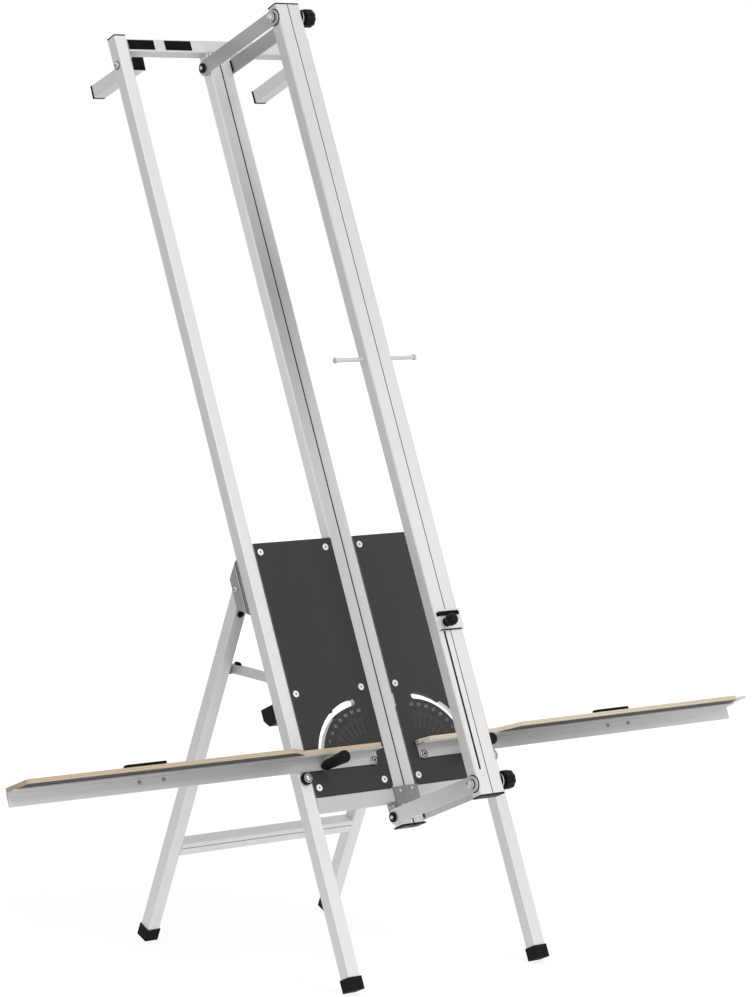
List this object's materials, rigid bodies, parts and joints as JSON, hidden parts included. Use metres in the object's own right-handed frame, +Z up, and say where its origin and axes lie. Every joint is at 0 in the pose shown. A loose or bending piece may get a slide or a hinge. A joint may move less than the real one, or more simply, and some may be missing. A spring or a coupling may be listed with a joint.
{
  "type": "hot wire foam board cutter",
  "caption": "Tall leaning stand with folding rear legs, tilting shelf wings and a swinging hot-wire bow for cutting foam insulation boards.",
  "frame": {"origin": "centre of the overall box at ground level, under the standing cutter", "axes": "+X to the cutter's right seen from the front, +Y to the rear, +Z up; the front faces -Y"},
  "size_m": [1.951, 1.0918, 2.0607],
  "materials": {
    "tube_aluminium": "satin",
    "bar_aluminium": "satin",
    "sheet_steel": "zinc plated",
    "bolt_steel": "zinc plated",
    "black_plastic": "matt",
    "black_rubber": "matt",
    "film_plywood": "film faced",
    "batten_wood": "planed",
    "shelf_plywood": "film faced",
    "ceramic": "glazed",
    "wire": "drawn"
  },
  "bodies": {
    "frame": {"main_tube_left": "tube_aluminium", "main_tube_right": "tube_aluminium", "tube_cap_left": "black_plastic", "tube_cap_right": "black_plastic", "front_foot_left": "black_rubber", "front_foot_right": "black_rubber", "crossbar_top": "tube_aluminium", "crossbar_low_left": "tube_aluminium", "crossbar_low_right": "tube_aluminium", "rail": "tube_aluminium", "rail_cap": "black_plastic", "rail_bracket": "sheet_steel", "panel_left": "film_plywood", "panel_right": "film_plywood", "batten_mid_left": "batten_wood", "batten_mid_right": "batten_wood", "batten_high_left": "batten_wood", "batten_high_right": "batten_wood", "spacer_arm_left": "tube_aluminium", "spacer_arm_right": "tube_aluminium", "hinge_bracket_left": "sheet_steel", "hinge_bracket_right": "sheet_steel", "stay_bolt_left": "bolt_steel", "stay_bolt_right": "bolt_steel", "power_unit": "black_plastic", "wing_pivot_left": "bolt_steel", "wing_pivot_right": "bolt_steel", "wing_bumper_left": "black_rubber", "wing_bumper_right": "black_rubber"},
    "rocker": {"rocker_switch": "black_plastic"},
    "upper_arm": {"upper_arm_left": "bar_aluminium", "upper_arm_right": "bar_aluminium"},
    "lower_arm": {"lower_arm_left": "bar_aluminium", "lower_arm_right": "bar_aluminium"},
    "bow": {"bow_profile": "tube_aluminium", "bow_cap_top": "black_plastic", "bow_cap_bottom": "black_plastic", "bow_handle": "bar_aluminium", "hot_wire": "wire", "wire_holder_top": "ceramic", "wire_holder_bottom": "ceramic"},
    "star_top": {"star_knob_top": "black_plastic"},
    "star_bottom": {"star_knob_bottom": "black_plastic"},
    "clamp": {"depth_clamp": "bar_aluminium"},
    "clamp_screw": {"clamp_knob": "black_plastic"},
    "wing_left": {"wing_board_left": "shelf_plywood", "wing_angle_left": "bar_aluminium"},
    "wing_right": {"wing_board_right": "shelf_plywood", "wing_angle_right": "bar_aluminium"},
    "grip_left": {"wing_grip_left": "black_plastic"},
    "grip_right": {"wing_grip_right": "black_plastic"},
    "rear_stand": {"rear_leg_left": "tube_aluminium", "rear_leg_right": "tube_aluminium", "rear_foot_left": "black_rubber", "rear_foot_right": "black_rubber", "rear_crossbar": "tube_aluminium", "stay_seat_left": "sheet_steel", "stay_seat_right": "sheet_steel"},
    "stay_left": {"stay_bar_left": "bar_aluminium"},
    "stay_right": {"stay_bar_right": "bar_aluminium"}
  },
  "joints": [
    {"name": "arm_swing", "type": "hinge", "parent": "frame", "child": "upper_arm", "pos_m": [0.00551, 0.39945, 1.92737], "axis": [1, 0, 0], "range_deg": [0, 78]},
    {"name": "lower_arm_swing", "type": "hinge", "parent": "frame", "child": "lower_arm", "pos_m": [0.00551, -0.26259, 0.32905], "axis": [1, 0, 0], "range_deg": [0, 78]},
    {"name": "bow_level", "type": "hinge", "parent": "upper_arm", "child": "bow", "pos_m": [0.00551, 0.14158, 2.02877], "axis": [1, 0, 0], "range_deg": [-78, 0]},
    {"name": "star_top_turn", "type": "hinge", "parent": "upper_arm", "child": "star_top", "pos_m": [0.06252, 0.14158, 2.02877], "axis": [1, 0, 0], "continuous": true},
    {"name": "star_bottom_turn", "type": "hinge", "parent": "lower_arm", "child": "star_bottom", "pos_m": [0.06252, -0.52047, 0.43046], "axis": [1, 0, 0], "continuous": true},
    {"name": "depth_slide", "type": "slide", "parent": "bow", "child": "clamp", "axis": [0, 0.3827, 0.9239], "range_m": [-0.29, 0]},
    {"name": "clamp_knob_turn", "type": "hinge", "parent": "clamp", "child": "clamp_screw", "pos_m": [-0.00248, -0.41692, 0.75883], "axis": [0, -0.9239, 0.3827], "continuous": true},
    {"name": "wing_left_tilt", "type": "hinge", "parent": "frame", "child": "wing_left", "pos_m": [-0.06248, -0.22957, 0.44797], "axis": [0, -0.9239, 0.3827], "range_deg": [-60, 0]},
    {"name": "wing_right_tilt", "type": "hinge", "parent": "frame", "child": "wing_right", "pos_m": [0.07351, -0.22957, 0.44797], "axis": [0, -0.9239, 0.3827], "range_deg": [0, 60]},
    {"name": "grip_left_turn", "type": "hinge", "parent": "wing_left", "child": "grip_left", "pos_m": [-0.19448, -0.22923, 0.44878], "axis": [0, -0.9239, 0.3827], "continuous": true},
    {"name": "grip_right_turn", "type": "hinge", "parent": "wing_right", "child": "grip_right", "pos_m": [0.20552, -0.22957, 0.44797], "axis": [0, -0.9239, 0.3827], "continuous": true},
    {"name": "stand_fold", "type": "hinge", "parent": "frame", "child": "rear_stand", "pos_m": [0.00551, -0.02206, 0.81175], "axis": [1, 0, 0], "range_deg": [-46.5, 0]},
    {"name": "stay_left_lift", "type": "hinge", "parent": "frame", "child": "stay_left", "pos_m": [-0.21568, -0.13527, 0.61944], "axis": [1, 0, 0], "range_deg": [0, 62]},
    {"name": "stay_right_lift", "type": "hinge", "parent": "frame", "child": "stay_right", "pos_m": [0.22671, -0.13527, 0.61944], "axis": [1, 0, 0], "range_deg": [0, 62]},
    {"name": "rocker_tilt", "type": "hinge", "parent": "frame", "child": "rocker", "pos_m": [-0.14048, -0.06592, 0.54254], "axis": [1, 0, 0], "range_deg": [0, 20]}
  ],
  "couplings": [
    {"joint": "lower_arm_swing", "follows": "arm_swing", "ratio": 1},
    {"joint": "bow_level", "follows": "arm_swing", "ratio": -1}
  ]
}
